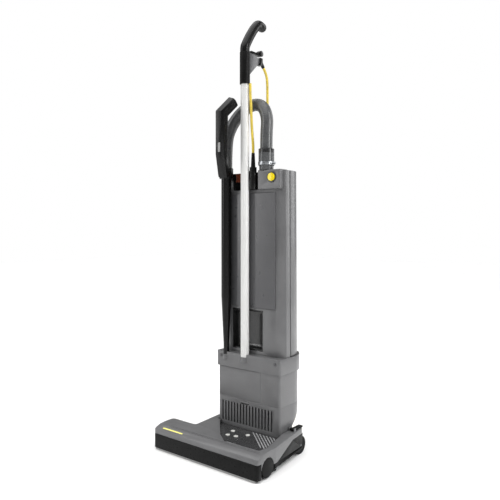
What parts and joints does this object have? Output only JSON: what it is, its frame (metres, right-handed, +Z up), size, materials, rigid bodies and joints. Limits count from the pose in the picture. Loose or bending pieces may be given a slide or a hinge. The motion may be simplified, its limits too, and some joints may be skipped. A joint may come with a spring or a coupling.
{
  "type": "upright vacuum cleaner",
  "caption": "Commercial upright vacuum cleaner: wide brush head, tilting body with motor and bag housings, hose with wand, handle tube, mains cord coiled behind.",
  "frame": {"origin": "on the floor, in the middle of the cleaner's footprint without its cord", "axes": "+Z up, the front bumper faces -Y, +X to the right of a person who faces the front"},
  "size_m": [0.38, 0.4765, 1.2336],
  "materials": {
    "grey_plastic": "satin moulded plastic",
    "dark_grey_plastic": "satin moulded plastic",
    "black_plastic": "fine grained moulded plastic",
    "gloss_dark_plastic": "gloss moulded plastic",
    "white_metal": "powder coat",
    "yellow_plastic": "gloss moulded plastic",
    "switch_plastic": "gloss moulded plastic",
    "lens": "clear moulded lens",
    "rubber": "matt",
    "hose_plastic": "ribbed flexible plastic",
    "cord_sheath": "matt cable sheath",
    "bristle": "nylon",
    "roller_wood": "turned",
    "steel": "bright",
    "bag_fabric": "non-woven",
    "pale_plastic": "satin"
  },
  "bodies": {
    "head": {"head_chassis": "black_plastic", "head_cover": "grey_plastic", "front_bumper": "black_plastic", "floor_strip": "pale_plastic", "accent_stripe": "yellow_plastic", "indicator_panel": "gloss_dark_plastic", "indicator_lights": "lens", "end_caps": "black_plastic", "head_pins": "steel", "drive_motor": "steel", "drive_belt": "rubber", "neck_duct": "black_plastic"},
    "brush": {"brush_roller": "roller_wood", "brush_bristles": "bristle", "brush_pulley": "black_plastic"},
    "motor_shaft": {"motor_pulley": "steel"},
    "front_rollers": {"front_wheels": "black_plastic"},
    "wheel_left": {"rear_wheel_left": "black_plastic"},
    "wheel_right": {"rear_wheel_right": "black_plastic"},
    "pedal": {"tilt_pedal": "black_plastic"},
    "upright": {"housing_lower": "grey_plastic", "housing_upper": "grey_plastic", "collar": "grey_plastic", "collar_studs": "pale_plastic", "bag_shell": "grey_plastic", "front_panel": "dark_grey_plastic", "hand_recess": "dark_grey_plastic", "hose_box": "grey_plastic", "button_ring": "gloss_dark_plastic", "switch_plate": "black_plastic", "filter_bag": "bag_fabric", "bag_frame": "pale_plastic", "hose_cuff": "dark_grey_plastic", "hose_clamp": "steel", "hose": "hose_plastic", "handle_tube": "white_metal", "handle_sleeve": "black_plastic", "handle_grip": "black_plastic", "hook_bracket": "grey_plastic", "cord_clip": "black_plastic", "lead_socket": "black_plastic", "handle_lead": "cord_sheath", "mains_cord": "cord_sheath", "cord_coil": "cord_sheath", "mains_plug": "black_plastic", "suction_motor": "steel", "motor_plate": "black_plastic", "motor_ring": "rubber", "exhaust_filter": "bag_fabric"},
    "fan": {"motor_fan": "steel"},
    "filter_door": {"filter_cover": "grey_plastic"},
    "filter_catch": {"filter_latch": "black_plastic"},
    "bag_door": {"rear_cover": "grey_plastic"},
    "door_catch": {"cover_catch": "black_plastic"},
    "release_button": {"hose_button": "yellow_plastic"},
    "rocker": {"power_switch": "switch_plastic"},
    "hook": {"cord_hook": "black_plastic"},
    "wand": {"wand_tube": "black_plastic", "wand_grip": "black_plastic", "grip_inlay": "pale_plastic"}
  },
  "joints": [
    {"name": "body_tilt", "type": "hinge", "parent": "head", "child": "upright", "pos_m": [0.035, 0.06, 0.045], "axis": [-1, 0, 0], "range_deg": [0, 65]},
    {"name": "brush_spin", "type": "hinge", "parent": "head", "child": "brush", "pos_m": [0, -0.106, 0.027], "axis": [1, 0, 0], "continuous": true},
    {"name": "brush_motor_spin", "type": "hinge", "parent": "head", "child": "motor_shaft", "pos_m": [0.156, -0.038, 0.035], "axis": [1, 0, 0], "continuous": true},
    {"name": "front_wheels_spin", "type": "hinge", "parent": "head", "child": "front_rollers", "pos_m": [0, -0.058, 0.009], "axis": [1, 0, 0], "continuous": true},
    {"name": "wheel_left_spin", "type": "hinge", "parent": "head", "child": "wheel_left", "pos_m": [-0.088, 0.076, 0.025], "axis": [1, 0, 0], "continuous": true},
    {"name": "wheel_right_spin", "type": "hinge", "parent": "head", "child": "wheel_right", "pos_m": [0.158, 0.076, 0.025], "axis": [1, 0, 0], "continuous": true},
    {"name": "pedal_press", "type": "hinge", "parent": "head", "child": "pedal", "pos_m": [0.157, 0.046, 0.074], "axis": [-1, 0, 0], "range_deg": [0, 7], "stiffness_Nm_per_rad": 0.6, "springref_deg": -5.73},
    {"name": "fan_spin", "type": "hinge", "parent": "upright", "child": "fan", "pos_m": [0.035, 0.079, 0.23], "axis": [0, 0, 1], "continuous": true},
    {"name": "filter_cover_hinge", "type": "hinge", "parent": "upright", "child": "filter_door", "pos_m": [0.006, 0.004, 0.2257], "axis": [-1, 0, 0], "range_deg": [0, 85]},
    {"name": "filter_latch_slide", "type": "slide", "parent": "upright", "child": "filter_catch", "axis": [0, 0, -1], "range_m": [0, 0.003], "stiffness_N_per_m": 300, "springref_m": -0.001},
    {"name": "rear_cover_lift", "type": "slide", "parent": "upright", "child": "bag_door", "axis": [0, 0, 1], "range_m": [0, 0.025]},
    {"name": "cover_catch_slide", "type": "slide", "parent": "bag_door", "child": "door_catch", "axis": [0, 1, 0], "range_m": [0, 0.009], "stiffness_N_per_m": 150, "springref_m": -0.002},
    {"name": "hose_button_press", "type": "slide", "parent": "upright", "child": "release_button", "axis": [0, 1, 0], "range_m": [0, 0.003], "stiffness_N_per_m": 500, "springref_m": -0.001},
    {"name": "power_switch_rock", "type": "hinge", "parent": "upright", "child": "rocker", "pos_m": [-0.021, 0.036, 0.773], "axis": [-1, 0, 0], "range_deg": [0, 14]},
    {"name": "cord_hook_swivel", "type": "hinge", "parent": "upright", "child": "hook", "pos_m": [0.022, 0.0375, 1.13], "axis": [0, 0, 1], "range_deg": [-90, 90]},
    {"name": "wand_lift", "type": "slide", "parent": "upright", "child": "wand", "axis": [0, 0, 1], "range_m": [0, 0.04], "deforming": ["hose"]}
  ],
  "couplings": [
    {"joint": "brush_motor_spin", "follows": "brush_spin", "ratio": 1.8333}
  ]
}
